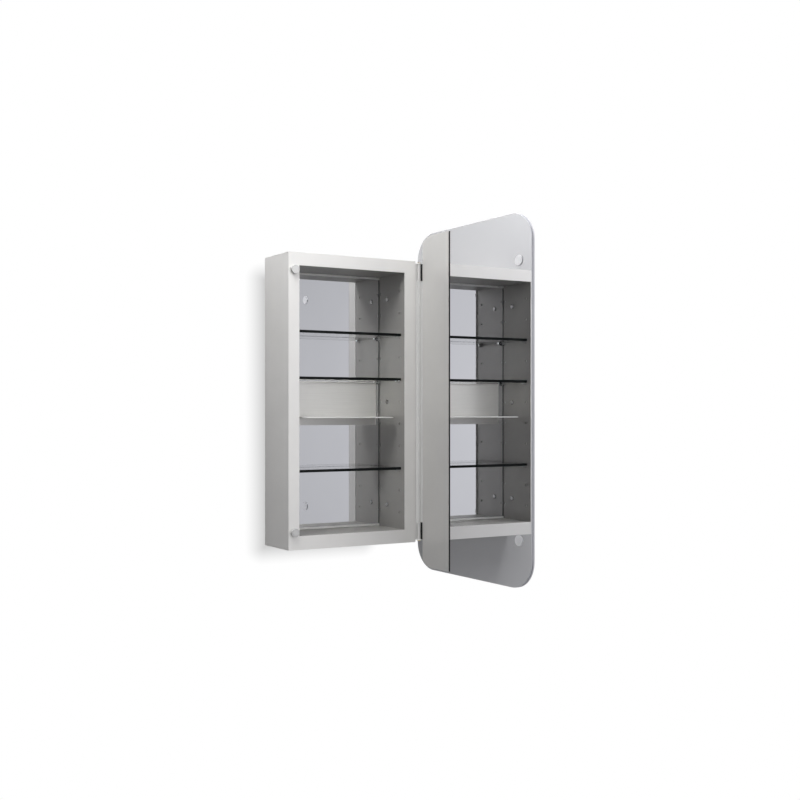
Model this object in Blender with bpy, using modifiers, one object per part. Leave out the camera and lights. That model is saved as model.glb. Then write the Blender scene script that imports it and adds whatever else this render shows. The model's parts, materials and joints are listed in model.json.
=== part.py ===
"""Surface-mounted medicine cabinet with a rounded, double-sided mirror door, modelled open at a right angle.

Frame: metres, +Z up, the room is on the -Y side and the wall is the plane Y = 0.
Origin: centre of the cabinet's back, on the wall plane.
"""

import math

import bmesh
import bpy
from mathutils import Matrix, Vector

# ---------------------------------------------------------------- driving dimensions
CABINET_WIDTH = 0.3323
CABINET_HEIGHT = 0.6425
CABINET_DEPTH = 0.1085
FRAME_SHEET = 0.0015      # face frame and outer panels
LINER_SHEET = 0.0012      # inner box
CLEARANCE = 0.0003        # between parts that touch
PANEL_FLANGE = 0.0140

STILE_LEFT = 0.0270
STILE_RIGHT = 0.0300
RAIL_TOP = 0.0281
RAIL_BOTTOM = 0.0298
LINER_INSET_LEFT = 0.0238
LINER_INSET_RIGHT = 0.0293
LINER_RETURN = 0.0100       # flanges of the inner box, front and back

DOOR_WIDTH = 0.381
DOOR_HEIGHT = 0.762
DOOR_RADIUS = 0.0588
DOOR_GLASS_FRONT = 0.0040
DOOR_GLASS_INNER = 0.0030
DOOR_PLATE = 0.0007
DOOR_BEHIND_AXIS = 0.0175   # how far the hinge edge of the glass reaches past the axis
DOOR_FACE_OFFSET = 0.0093   # hinge axis to the inner mirror's face

AXIS_BESIDE_FRAME = 0.0092
BARREL_RADIUS = 0.0038
PIN_RADIUS = 0.0015
PIN_BORE_RADIUS = 0.00162
KNUCKLE_SPLIT_Z = 0.2770    # height at which the fixed knuckles take over from the moving one
KNUCKLE_END_Z = 0.3157
PIN_HEAD_RADIUS = 0.0042
PIN_HEAD_HEIGHT = 0.0018
PIN_PAST_SPLIT = 0.0300
WASHER_RADIUS = 0.0036
WASHER_THICKNESS = 0.0006
FLANGE_RADIUS = 0.0056
FLANGE_THICKNESS = 0.0012
WASHER_BORE = 0.0018
LEAF_SHEET_FRAME = 0.0016
LEAF_BESIDE_BARREL = 0.0004
LEAF_SHEET_DOOR = 0.0009
LEAF_WINDOW_START = 0.0120  # slot in the inner mirror, measured from the axis
LEAF_WINDOW_END = 0.0700
LEAF_HALF_HEIGHT = KNUCKLE_SPLIT_Z - 0.0006
LEAF_SCREW_HEIGHTS = (0.240, 0.144, 0.048, -0.048, -0.144, -0.240)
LEAF_SCREW_FROM_AXIS = 0.0450
LEAF_SCREW_RADIUS = 0.0017

COVER_NEAR = 0.0040         # cover strip's edges, measured from the axis towards the free edge
COVER_FAR = 0.1003
COVER_INSET = 0.0038
COVER_STANDOFF = 0.0020
COVER_SHEET = 0.0006
COVER_SKIRT = 0.0012

CATCH_HEIGHT = 0.2833
CATCH_FROM_EDGE = 0.0145
CATCH_RADIUS = 0.0095
CATCH_PROUD = 0.0068
CATCH_STUD_RADIUS = 0.0020
CATCH_STUD_LENGTH = 0.0072
CATCH_POCKET_RADIUS = 0.0068
CATCH_POCKET_DEPTH = 0.0030
CATCH_ROUNDING = 0.0006
MAGNET_RADIUS = 0.0064
MAGNET_SETBACK = 0.0002
MAGNET_BACK = 0.0027
MAGNET_ROUNDING = 0.0004
NUT_RADIUS = 0.0042
NUT_BORE = 0.0026
NUT_HEIGHT = 0.0030
CATCH_HOLE_RADIUS = 0.0023
STRIKE_RADIUS = 0.0110
STRIKE_THICKNESS = 0.0019
STRIKE_FROM_AXIS = 0.3270

SHELF_HEIGHTS = {"upper": 0.1524, "middle": 0.0508, "lower": -0.1524}
SHELF_THICKNESS = 0.0060
SHELF_SETBACK = 0.0120
SHELF_DEPTH = 0.0900
SHELF_BESIDE_FRAME = 0.0009
SUPPORT_PITCH = 0.0508
SUPPORT_ROWS = 5            # rows above and below mid-height
SUPPORT_DEPTHS = {"front": 0.0210, "back": 0.0980}
SUPPORT_HOLE_RADIUS = 0.0025
SUPPORT_PEG_RADIUS = 0.0022
SUPPORT_ARM = 0.0016
SUPPORT_LEDGE = 0.0105

BACK_MIRROR_DEPTH = 0.1045
BACK_MIRROR_THICKNESS = 0.0030
BACK_PANEL_SHEET = 0.0007
RETAINER_HEIGHT = 0.0045

BOLT_DEPTH = 0.0710
BOLT_HEIGHTS = {"upper": 0.239, "middle": 0.0, "lower": -0.239}
RAIL_SHEET = 0.0015
RAIL_HALF_HEIGHT = 0.262
RAIL_FRONT = 0.0570
RAIL_JOGGLE = 0.1000
BOLT_HOLE_RADIUS = 0.0028
FRAME_EDGE_ROUNDING = 0.00025
CAP_RADIUS = 0.0054
CAP_PROUD = 0.0015
CAP_HOLLOW = 0.0008
CAP_SKIRT = 0.0006
CAP_EDGE_DROP = 0.0008
CAP_CROWN = 0.0013

ORGANISER_WIDTH = 0.2500
ORGANISER_CENTRE = 0.0007
ORGANISER_TOP = 0.0460
ORGANISER_BOTTOM = -0.0540
ORGANISER_TRAY_Z = -0.0360
ORGANISER_TRAY_FRONT = 0.0160
ORGANISER_CORNER = 0.0200
ORGANISER_SHEET = 0.0012
ORGANISER_TRAY_SHEET = 0.0020
ORGANISER_LIP = 0.0045
ORGANISER_PAD = 0.0010
ORGANISER_PAD_MARGIN = 0.0120

# ---------------------------------------------------------------- derived planes
LEFT = -CABINET_WIDTH / 2
RIGHT = CABINET_WIDTH / 2
TOP = CABINET_HEIGHT / 2
BOTTOM = -TOP
FRONT = -CABINET_DEPTH
OPENING_LEFT = LEFT + STILE_LEFT
OPENING_RIGHT = RIGHT - STILE_RIGHT
OPENING_TOP = TOP - RAIL_TOP
OPENING_BOTTOM = BOTTOM + RAIL_BOTTOM
LINER_LEFT = LEFT + LINER_INSET_LEFT
LINER_RIGHT = RIGHT - LINER_INSET_RIGHT
BEHIND_FRAME = FRAME_SHEET + CLEARANCE
AXIS_X = RIGHT + AXIS_BESIDE_FRAME
AXIS_Y = FRONT
DOOR_FACE = AXIS_X + DOOR_FACE_OFFSET
DOOR_NEAR_Y = AXIS_Y + DOOR_BEHIND_AXIS
DOOR_FAR_Y = DOOR_NEAR_Y - DOOR_WIDTH
BACK_FLANGE_DEPTH = CABINET_DEPTH - BACK_PANEL_SHEET - CLEARANCE - LINER_SHEET
ROUND = 32                  # sides of a turned piece


def behind_front(depth):
    """World Y of a plane that lies this deep behind the face frame's front."""
    return FRONT + depth


# ---------------------------------------------------------------- scene and collections
for old in list(bpy.data.objects):
    bpy.data.objects.remove(old, do_unlink=True)

PARTS = bpy.data.collections.new("medicine_cabinet")
CUTTERS = bpy.data.collections.new("cutters")
bpy.context.scene.collection.children.link(PARTS)
bpy.context.scene.collection.children.link(CUTTERS)


def make_material(name, colour, metallic, roughness, alpha=1.0):
    """A Principled BSDF material with one plain finish."""
    material = bpy.data.materials.new(name)
    material.use_nodes = True
    shader = material.node_tree.nodes["Principled BSDF"]
    shader.inputs["Base Color"].default_value = (*colour, 1.0)
    shader.inputs["Metallic"].default_value = metallic
    shader.inputs["Roughness"].default_value = roughness
    shader.inputs["Alpha"].default_value = alpha
    material.diffuse_color = (*colour, alpha)
    return material


ALUMINIUM = make_material("anodised_aluminium", (0.74, 0.74, 0.72), 0.85, 0.42)
LINER = make_material("liner_aluminium", (0.60, 0.60, 0.58), 0.85, 0.45)
MIRROR = make_material("mirror_glass", (0.86, 0.87, 0.90), 1.0, 0.02)
SHELF_GLASS = make_material("shelf_glass", (0.85, 0.93, 0.92), 0.0, 0.02, 0.35)
BRUSHED = make_material("brushed_steel", (0.66, 0.66, 0.64), 0.9, 0.38)
ZINC = make_material("zinc_steel", (0.55, 0.56, 0.57), 0.9, 0.40)
CHROME = make_material("chrome", (0.86, 0.87, 0.88), 1.0, 0.06)
BRASS = make_material("brass", (0.72, 0.60, 0.30), 1.0, 0.25)
NYLON = make_material("white_nylon", (0.92, 0.92, 0.90), 0.0, 0.45)
MAGNET = make_material("nickel_magnet", (0.80, 0.81, 0.82), 0.9, 0.22)


# ---------------------------------------------------------------- modelling helpers
def add_object(name, mesh, material, collection=PARTS):
    """Links a mesh as a named object with one material."""
    obj = bpy.data.objects.new(name, mesh)
    collection.objects.link(obj)
    if material is not None:
        mesh.materials.clear()
        mesh.materials.append(material)
    if collection is CUTTERS:
        obj.hide_render = True
        obj.display_type = "WIRE"
    return obj


def object_from_bmesh(name, bm, material, collection=PARTS):
    mesh = bpy.data.meshes.new(name)
    bm.to_mesh(mesh)
    bm.free()
    return add_object(name, mesh, material, collection)


def add_box(bm, low, high):
    """Adds an axis-aligned box between two corners."""
    centre = (Vector(low) + Vector(high)) / 2
    size = Vector(high) - Vector(low)
    matrix = Matrix.Translation(centre) @ Matrix.Diagonal((*size, 1.0))
    bmesh.ops.create_cube(bm, size=1.0, matrix=matrix)


def add_rod(bm, start, end, radius, segments=ROUND):
    """Adds a capped cylinder between two points."""
    start = Vector(start)
    end = Vector(end)
    turn = (end - start).to_track_quat("Z", "Y").to_matrix().to_4x4()
    matrix = Matrix.Translation((start + end) / 2) @ turn
    bmesh.ops.create_cone(bm, cap_ends=True, segments=segments, radius1=radius, radius2=radius,
                          depth=(end - start).length, matrix=matrix)


def bevel(obj, width, segments=1, angle=40.0):
    """Rounds the sharp edges of an object."""
    modifier = obj.modifiers.new("edge_rounding", "BEVEL")
    modifier.width = width
    modifier.segments = segments
    modifier.limit_method = "ANGLE"
    modifier.angle_limit = math.radians(angle)
    return obj


def box(name, low, high, material, rounding=0.0):
    bm = bmesh.new()
    add_box(bm, low, high)
    obj = object_from_bmesh(name, bm, material)
    if rounding:
        bevel(obj, rounding)
    return obj


def boolean(obj, operation, other):
    """Cuts or joins with another object, which stays as a hidden guide."""
    modifier = obj.modifiers.new(operation.lower(), "BOOLEAN")
    modifier.operation = operation
    modifier.solver = "EXACT"
    modifier.object = other


def cutter(name, bm):
    return object_from_bmesh(name, bm, None, CUTTERS)


def smooth(mesh, angle=35.0):
    mesh.shade_smooth()
    mesh.set_sharp_from_angle(angle=math.radians(angle))


def turned_mesh(profile, segments=ROUND):
    """Turns a profile of (radius, height) about Z, listed down its outer side from top to bottom."""
    mesh = bpy.data.meshes.new("profile")
    points = [(radius, 0.0, height) for radius, height in profile]
    closed = profile[0][0] > 0.0
    edges = [(i, i + 1) for i in range(len(points) - 1)]
    if closed:
        edges.append((len(points) - 1, 0))
    mesh.from_pydata(points, edges, [])
    guide = add_object("profile_guide", mesh, None, CUTTERS)
    screw = guide.modifiers.new("turn", "SCREW")
    screw.steps = segments
    screw.render_steps = segments
    screw.use_merge_vertices = True
    screw.merge_threshold = 0.00001
    solid = evaluated_mesh(guide)
    bpy.data.objects.remove(guide, do_unlink=True)
    smooth(solid)
    return solid


def evaluated_mesh(obj):
    """The object's mesh with its modifiers applied and coincident points welded."""
    graph = bpy.context.evaluated_depsgraph_get()
    mesh = bpy.data.meshes.new_from_object(obj.evaluated_get(graph))
    bm = bmesh.new()
    bm.from_mesh(mesh)
    bmesh.ops.remove_doubles(bm, verts=bm.verts, dist=0.00001)
    bm.to_mesh(mesh)
    bm.free()
    return mesh


def place(name, mesh, matrix, material):
    """A node that shows this mesh at this placement. Nodes of one kind share their mesh."""
    obj = add_object(name, mesh, material)
    obj.matrix_world = matrix
    return obj


def facing(point, direction):
    """Placement that puts a turned piece's +Z along a direction, at a point."""
    turn = Vector(direction).to_track_quat("Z", "Y").to_matrix().to_4x4()
    return Matrix.Translation(Vector(point)) @ turn


def folded_sheet(name, line, plane, span, thickness, material):
    """Sheet metal bent along an open line and drawn out over a span.

    plane names the two axes of the line's points, and the sheet runs along the third.
    """
    axes = {"x": 0, "y": 1, "z": 2}
    first, second = (axes[letter] for letter in plane)
    along = 3 - first - second
    bm = bmesh.new()
    rows = []
    for end in span:
        row = []
        for a, b in line:
            point = [0.0, 0.0, 0.0]
            point[first] = a
            point[second] = b
            point[along] = end
            row.append(bm.verts.new(point))
        rows.append(row)
    for i in range(len(line) - 1):
        bm.faces.new((rows[0][i], rows[0][i + 1], rows[1][i + 1], rows[1][i]))
    obj = object_from_bmesh(name, bm, material)
    solidify = obj.modifiers.new("sheet", "SOLIDIFY")
    solidify.thickness = thickness
    solidify.offset = 0.0
    solidify.use_even_offset = True
    return obj


def rounded_outline(width, height, radius, segments=14):
    """Corner arcs of a rounded rectangle centred on the origin, anticlockwise."""
    points = []
    for quadrant in range(4):
        side_x = 1 if quadrant in (0, 3) else -1
        side_y = 1 if quadrant in (0, 1) else -1
        centre_x = side_x * (width / 2 - radius)
        centre_y = side_y * (height / 2 - radius)
        for step in range(segments + 1):
            angle = (quadrant + step / segments) * math.pi / 2
            points.append((centre_x + radius * math.cos(angle), centre_y + radius * math.sin(angle)))
    return points


def flat_plate(name, outline, thickness, matrix, material, collection=PARTS):
    """A flat outline as a filled 2D curve, given its thickness and made a mesh."""
    curve = bpy.data.curves.new(name, "CURVE")
    curve.dimensions = "2D"
    curve.fill_mode = "BOTH"
    curve.extrude = thickness / 2
    spline = curve.splines.new("POLY")
    spline.points.add(len(outline) - 1)
    for point, (a, b) in zip(spline.points, outline):
        point.co = (a, b, 0.0, 1.0)
    spline.use_cyclic_u = True
    guide = bpy.data.objects.new(name + "_outline", curve)
    CUTTERS.objects.link(guide)
    guide.matrix_world = matrix
    bpy.context.view_layer.update()
    mesh = evaluated_mesh(guide)
    mesh.name = name
    obj = add_object(name, mesh, material, collection)
    obj.matrix_world = matrix
    bpy.data.objects.remove(guide, do_unlink=True)
    bpy.data.curves.remove(curve)
    return obj


def door_matrix(x, y, z=0.0):
    """Puts a plate's own X along world -Y and its Y along world Z, so that it stands in the open door."""
    return Matrix.Translation((x, y, z)) @ Matrix(((0, 0, -1, 0), (-1, 0, 0, 0), (0, 1, 0, 0), (0, 0, 0, 1)))


# ---------------------------------------------------------------- face frame and outer panels
def face_frame():
    frame = box("front_frame", (LEFT, FRONT, BOTTOM), (RIGHT, behind_front(FRAME_SHEET), TOP), ALUMINIUM)
    bm = bmesh.new()
    add_box(bm, (OPENING_LEFT, FRONT - 0.01, OPENING_BOTTOM), (OPENING_RIGHT, FRONT + 0.01, OPENING_TOP))
    for side in (1, -1):
        centre = Vector((LEFT + CATCH_FROM_EDGE, FRONT, side * CATCH_HEIGHT))
        add_rod(bm, centre - Vector((0, 0.01, 0)), centre + Vector((0, 0.01, 0)), CATCH_HOLE_RADIUS, 16)
    boolean(frame, "DIFFERENCE", cutter("frame_opening", bm))
    bevel(frame, FRAME_EDGE_ROUNDING)


def side_panel(name, side, front):
    """Side skin, folded in at the top and bottom to carry the panels there."""
    half = FRAME_SHEET / 2
    outer = side * (RIGHT - half)
    tip = outer - side * PANEL_FLANGE
    height = TOP - FRAME_SHEET - CLEARANCE - half
    line = [(tip, -height), (outer, -height), (outer, height), (tip, height)]
    folded_sheet(name, line, "xz", (front, 0.0), FRAME_SHEET, ALUMINIUM)


def outer_panels():
    leaf_way = behind_front(BEHIND_FRAME + LEAF_SHEET_FRAME + 2 * CLEARANCE)
    side_panel("side_panel_left", -1, behind_front(BEHIND_FRAME))
    side_panel("side_panel_right", 1, leaf_way)
    for name, low, high in (("top_panel", TOP - FRAME_SHEET, TOP), ("bottom_panel", BOTTOM, BOTTOM + FRAME_SHEET)):
        box(name, (LEFT, behind_front(BEHIND_FRAME), low), (RIGHT, 0.0, high), ALUMINIUM, 0.0003)


# ---------------------------------------------------------------- inner box
def liner_wall(name, inner_x, outward, front_flange):
    """Side wall of the inner box: a channel whose flanges turn away from the inside."""
    outer_x = inner_x + outward * LINER_SHEET
    middle_x = inner_x + outward * LINER_SHEET / 2
    front = behind_front(BEHIND_FRAME + LINER_SHEET / 2)
    back = behind_front(BACK_FLANGE_DEPTH + LINER_SHEET / 2)
    line = [(middle_x, front), (middle_x, back), (outer_x + outward * 0.0045, back)]
    if front_flange:
        line.insert(0, (outer_x + outward * 0.0032, front))
    wall = folded_sheet(name, line, "xy", (OPENING_BOTTOM - 0.0020, OPENING_TOP + 0.0020), LINER_SHEET, LINER)
    bm = bmesh.new()
    for row in range(-SUPPORT_ROWS, SUPPORT_ROWS + 1):
        for depth in SUPPORT_DEPTHS.values():
            centre = Vector((inner_x, behind_front(depth), row * SUPPORT_PITCH))
            add_rod(bm, centre - Vector((0.004, 0, 0)), centre + Vector((0.004, 0, 0)), SUPPORT_HOLE_RADIUS, 10)
    for height in BOLT_HEIGHTS.values():
        centre = Vector((inner_x, behind_front(BOLT_DEPTH), height))
        add_rod(bm, centre - Vector((0.004, 0, 0)), centre + Vector((0.004, 0, 0)), BOLT_HOLE_RADIUS, 14)
    boolean(wall, "DIFFERENCE", cutter(name + "_holes", bm))


def liner_flat(name, inner_z, outward):
    """Ceiling or floor of the inner box, between the side walls, with flanges front and back."""
    middle_z = inner_z + outward * LINER_SHEET / 2
    front = behind_front(BEHIND_FRAME + LINER_SHEET / 2)
    back = behind_front(BACK_FLANGE_DEPTH + LINER_SHEET / 2)
    tip = inner_z + outward * LINER_RETURN
    line = [(front, tip), (front, middle_z), (back, middle_z), (back, tip)]
    span = (LINER_LEFT + CLEARANCE, LINER_RIGHT - CLEARANCE)
    folded_sheet(name, line, "yz", span, LINER_SHEET, LINER)


def inner_box():
    liner_wall("liner_wall_left", LINER_LEFT, -1, True)
    liner_wall("liner_wall_right", LINER_RIGHT, 1, False)
    liner_flat("liner_ceiling", OPENING_TOP, 1)
    liner_flat("liner_floor", OPENING_BOTTOM, -1)
    box("back_panel", (LINER_LEFT - 0.008, -BACK_PANEL_SHEET, OPENING_BOTTOM - 0.010),
        (LINER_RIGHT + 0.008, 0.0, OPENING_TOP + 0.010), ZINC)
    front = behind_front(BACK_MIRROR_DEPTH)
    gap = 0.0004
    box("back_mirror", (LINER_LEFT + gap, front, OPENING_BOTTOM + gap),
        (LINER_RIGHT - gap, front + BACK_MIRROR_THICKNESS, OPENING_TOP - gap), MIRROR, 0.0003)
    for name, inner_z, inward in (("mirror_retainer_top", OPENING_TOP, -1), ("mirror_retainer_bottom",
                                                                             OPENING_BOTTOM, 1)):
        near = inner_z + inward * CLEARANCE
        far = inner_z + inward * RETAINER_HEIGHT
        box(name, (LINER_LEFT + gap, front - 0.0018, min(near, far)),
            (LINER_RIGHT - gap, front - CLEARANCE, max(near, far)), ALUMINIUM, 0.0003)


# ---------------------------------------------------------------- wall fixing in the side cavities
def wall_rail(name, inner_x, outward):
    """Joggled rail: one leg bolted to the inner box, the other screwed flat on the room's wall."""
    half = RAIL_SHEET / 2
    box_leg = inner_x + outward * (LINER_SHEET + CLEARANCE + half)
    joggle = inner_x + outward * (LINER_SHEET + 0.0096)
    tip = inner_x + outward * 0.0205
    joggle_y = behind_front(RAIL_JOGGLE)
    line = [(box_leg, behind_front(RAIL_FRONT)), (box_leg, joggle_y), (joggle, joggle_y), (joggle, -half),
            (tip, -half)]
    rail = folded_sheet(name, line, "xy", (-RAIL_HALF_HEIGHT, RAIL_HALF_HEIGHT), RAIL_SHEET, ZINC)
    holes = bmesh.new()
    for height in BOLT_HEIGHTS.values():
        bolt = Vector((box_leg, behind_front(BOLT_DEPTH), height))
        add_rod(holes, bolt - Vector((0.002, 0, 0)), bolt + Vector((0.002, 0, 0)), BOLT_HOLE_RADIUS, 14)
        screw = Vector(((joggle + tip) / 2, -half, height))
        add_rod(holes, screw - Vector((0, 0.002, 0)), screw + Vector((0, 0.002, 0)), BOLT_HOLE_RADIUS, 14)
    boolean(rail, "DIFFERENCE", cutter(name + "_holes", holes))


def bolt_caps():
    """Plated press-in caps, hollow over the bolt heads, three on each side wall."""
    rim = CAP_RADIUS
    wall = rim - CAP_SKIRT
    cap = turned_mesh([(0.0, CAP_PROUD), (rim - CAP_CROWN, CAP_PROUD), (rim - 0.0005, CAP_PROUD - 0.0002),
                       (rim, CAP_PROUD - CAP_EDGE_DROP), (rim, 0.0), (wall, 0.0), (wall, CAP_HOLLOW),
                       (0.0, CAP_HOLLOW)], 24)
    for side, inner_x, inward in (("left", LINER_LEFT, 1), ("right", LINER_RIGHT, -1)):
        for level, height in BOLT_HEIGHTS.items():
            point = (inner_x + inward * CLEARANCE, behind_front(BOLT_DEPTH), height)
            place(f"bolt_cap_{side}_{level}", cap, facing(point, (inward, 0, 0)), CHROME)


# ---------------------------------------------------------------- shelves and organiser
def shelf(level, height):
    front = behind_front(SHELF_SETBACK)
    half = SHELF_THICKNESS / 2
    beside_wall = SUPPORT_ARM + 2 * CLEARANCE
    left = max(OPENING_LEFT + SHELF_BESIDE_FRAME, LINER_LEFT + beside_wall)
    right = min(OPENING_RIGHT - SHELF_BESIDE_FRAME, LINER_RIGHT - beside_wall)
    box("glass_shelf_" + level, (left, front, height - half), (right, front + SHELF_DEPTH, height + half),
        SHELF_GLASS, 0.0004)
    supports(level, height)


def supports(level, height):
    """Plug-in supports: a peg in the wall at the glass's height, a drop arm, and a ledge under the glass."""
    half = SHELF_THICKNESS / 2
    arm = SUPPORT_ARM
    arm_top = half - 0.0004
    ledge_top = -half - CLEARANCE
    foot = ledge_top - 0.0055
    outline = [(0.0, arm_top), (arm, arm_top), (arm, ledge_top), (SUPPORT_LEDGE, ledge_top),
               (SUPPORT_LEDGE, ledge_top - 0.0012), (SUPPORT_LEDGE - 0.0025, ledge_top - 0.0022),
               (0.0030, foot), (0.0, foot)]
    bracket = flat_plate("support_shape", outline, 0.0050, Matrix.Identity(4), None, CUTTERS)
    peg = bmesh.new()
    add_rod(peg, (-LINER_SHEET, 0, 0), (arm / 2, 0, 0), SUPPORT_PEG_RADIUS, 12)
    boolean(bracket, "UNION", cutter("support_peg", peg))
    mesh = evaluated_mesh(bracket)
    bpy.data.objects.remove(bracket, do_unlink=True)
    smooth(mesh)
    for side, inner_x, inward in (("left", LINER_LEFT, 1), ("right", LINER_RIGHT, -1)):
        for end, depth in SUPPORT_DEPTHS.items():
            point = Vector((inner_x + inward * CLEARANCE, behind_front(depth), height))
            stand = Matrix(((inward, 0, 0, 0), (0, 0, -inward, 0), (0, 1, 0, 0), (0, 0, 0, 1)))
            place(f"shelf_support_{level}_{side}_{end}", mesh, Matrix.Translation(point) @ stand, CHROME)


def organiser():
    left = ORGANISER_CENTRE - ORGANISER_WIDTH / 2
    right = ORGANISER_CENTRE + ORGANISER_WIDTH / 2
    mirror_face = behind_front(BACK_MIRROR_DEPTH)
    plate_back = mirror_face - ORGANISER_PAD - 2 * CLEARANCE
    plate_middle = plate_back - ORGANISER_SHEET / 2
    line = [(plate_middle, ORGANISER_BOTTOM), (plate_middle, ORGANISER_TOP - 0.0015),
            (plate_middle - 0.0005, ORGANISER_TOP - 0.0005), (plate_middle - 0.0015, ORGANISER_TOP),
            (plate_middle - ORGANISER_LIP, ORGANISER_TOP)]
    folded_sheet("organiser_backplate", line, "yz", (left, right), ORGANISER_SHEET, BRUSHED)
    tray_back = plate_back - ORGANISER_SHEET - CLEARANCE
    tray_front = behind_front(ORGANISER_TRAY_FRONT)
    outline = [(left, tray_back), (left, tray_front + ORGANISER_CORNER)]
    for centre_x, first in ((left + ORGANISER_CORNER, math.pi), (right - ORGANISER_CORNER, 1.5 * math.pi)):
        for step in range(1, 10):
            angle = first + step * math.pi / 20
            outline.append((centre_x + ORGANISER_CORNER * math.cos(angle),
                            tray_front + ORGANISER_CORNER + ORGANISER_CORNER * math.sin(angle)))
    outline += [(right, tray_front + ORGANISER_CORNER), (right, tray_back)]
    tray = flat_plate("organiser_shelf", outline, ORGANISER_TRAY_SHEET,
                      Matrix.Translation((0, 0, ORGANISER_TRAY_Z)), BRUSHED)
    bevel(tray, 0.0003)
    margin = ORGANISER_PAD_MARGIN
    box("organiser_magnet_sheet",
        (left + margin, mirror_face - CLEARANCE - ORGANISER_PAD, ORGANISER_BOTTOM + margin),
        (right - margin, mirror_face - CLEARANCE, ORGANISER_TOP - margin), MAGNET)


# ---------------------------------------------------------------- magnetic catches
def catches():
    """Cup with a stud through the face frame, the magnet in the cup, and the nut behind."""
    rim = CATCH_RADIUS
    face = CATCH_PROUD
    pocket = face - CATCH_POCKET_DEPTH
    cup = turned_mesh([(0.0, pocket), (CATCH_POCKET_RADIUS, pocket), (CATCH_POCKET_RADIUS, face),
                       (rim - CATCH_ROUNDING, face), (rim, face - CATCH_ROUNDING), (rim, CLEARANCE),
                       (CATCH_STUD_RADIUS, CLEARANCE), (CATCH_STUD_RADIUS, -CATCH_STUD_LENGTH),
                       (0.0, -CATCH_STUD_LENGTH)])
    top = face - MAGNET_SETBACK
    magnet = turned_mesh([(0.0, top), (MAGNET_RADIUS - MAGNET_ROUNDING, top), (MAGNET_RADIUS, top - MAGNET_ROUNDING),
                          (MAGNET_RADIUS, face - MAGNET_BACK), (0.0, face - MAGNET_BACK)])
    nut = turned_mesh([(NUT_RADIUS, 0.0), (NUT_RADIUS, -NUT_HEIGHT), (NUT_BORE, -NUT_HEIGHT), (NUT_BORE, 0.0)], 6)
    for level, side in (("upper", 1), ("lower", -1)):
        point = Vector((LEFT + CATCH_FROM_EDGE, FRONT, side * CATCH_HEIGHT))
        front = facing(point, (0, -1, 0))
        place("magnet_cup_" + level, cup, front, ALUMINIUM)
        place("magnet_disc_" + level, magnet, front, MAGNET)
        place("magnet_nut_" + level, nut, facing(point + Vector((0, BEHIND_FRAME, 0)), (0, -1, 0)), ZINC)


# ---------------------------------------------------------------- hinge, fixed side
def hinge_frame_leaf():
    """Leaf behind the face frame, its return along the inner box, and a knuckle at each end."""
    half = LEAF_SHEET_FRAME / 2
    face_y = behind_front(BEHIND_FRAME + CLEARANCE + half)
    return_x = LINER_RIGHT + LINER_SHEET + CLEARANCE + half
    leaf_end = AXIS_X - BARREL_RADIUS - LEAF_BESIDE_BARREL
    line = [(return_x, behind_front(0.020)), (return_x, face_y), (leaf_end, face_y)]
    leaf = folded_sheet("hinge_frame_leaf", line, "xy", (-KNUCKLE_END_Z, KNUCKLE_END_Z), LEAF_SHEET_FRAME,
                        ALUMINIUM)
    for side, label in ((1, "upper"), (-1, "lower")):
        low, high = sorted((side * (KNUCKLE_SPLIT_Z + 0.0006), side * KNUCKLE_END_Z))
        tab = bmesh.new()
        add_box(tab, (leaf_end - 0.004, face_y - half, low), (AXIS_X, face_y + half, high))
        boolean(leaf, "UNION", cutter("knuckle_tab_" + label, tab))
        barrel = bmesh.new()
        add_rod(barrel, (AXIS_X, AXIS_Y, low), (AXIS_X, AXIS_Y, high), BARREL_RADIUS)
        boolean(leaf, "UNION", cutter("knuckle_barrel_" + label, barrel))
    bore = bmesh.new()
    add_rod(bore, (AXIS_X, AXIS_Y, -TOP), (AXIS_X, AXIS_Y, TOP), PIN_BORE_RADIUS, 24)
    boolean(leaf, "DIFFERENCE", cutter("frame_leaf_bore", bore))


def washer_mesh(radius, thickness):
    return turned_mesh([(WASHER_BORE, thickness), (radius, thickness), (radius, 0.0), (WASHER_BORE, 0.0)], 24)


def hinge_pins():
    head_seat = KNUCKLE_END_Z + FLANGE_THICKNESS + CLEARANCE
    head_top = head_seat + PIN_HEAD_HEIGHT
    tip = KNUCKLE_SPLIT_Z - PIN_PAST_SPLIT
    pin = turned_mesh([(0.0, head_top), (PIN_HEAD_RADIUS - 0.0014, head_top - 0.0001),
                       (PIN_HEAD_RADIUS - 0.0003, head_top - 0.0006), (PIN_HEAD_RADIUS, head_top - 0.0011),
                       (PIN_HEAD_RADIUS, head_seat), (PIN_RADIUS, head_seat), (PIN_RADIUS, tip + 0.0006),
                       (0.0009, tip), (0.0, tip)], 24)
    outer = washer_mesh(FLANGE_RADIUS, FLANGE_THICKNESS)
    inner = washer_mesh(WASHER_RADIUS, WASHER_THICKNESS)
    for level, side in (("upper", 1), ("lower", -1)):
        place("hinge_pin_" + level, pin, facing((AXIS_X, AXIS_Y, 0), (0, 0, side)), BRASS)
        for kind, mesh, height in (("outer", outer, KNUCKLE_END_Z + CLEARANCE / 2),
                                   ("inner", inner, KNUCKLE_SPLIT_Z - CLEARANCE)):
            seat = facing((AXIS_X, AXIS_Y, side * height), (0, 0, side))
            place(f"hinge_washer_{level}_{kind}", mesh, seat, NYLON)


# ---------------------------------------------------------------- door, standing open in the plane X = DOOR_FACE
def door_plate(name, back_of_face, thickness, inset, material, rounding):
    """A plate with the door's rounded outline, starting this far behind the inner mirror's face."""
    outline = rounded_outline(DOOR_WIDTH - 2 * inset, DOOR_HEIGHT - 2 * inset, DOOR_RADIUS - inset)
    middle_y = (DOOR_NEAR_Y + DOOR_FAR_Y) / 2
    plate = flat_plate(name, outline, thickness, door_matrix(DOOR_FACE + back_of_face + thickness / 2, middle_y),
                       material)
    if rounding:
        bevel(plate, rounding, 2)
    return plate


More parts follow.
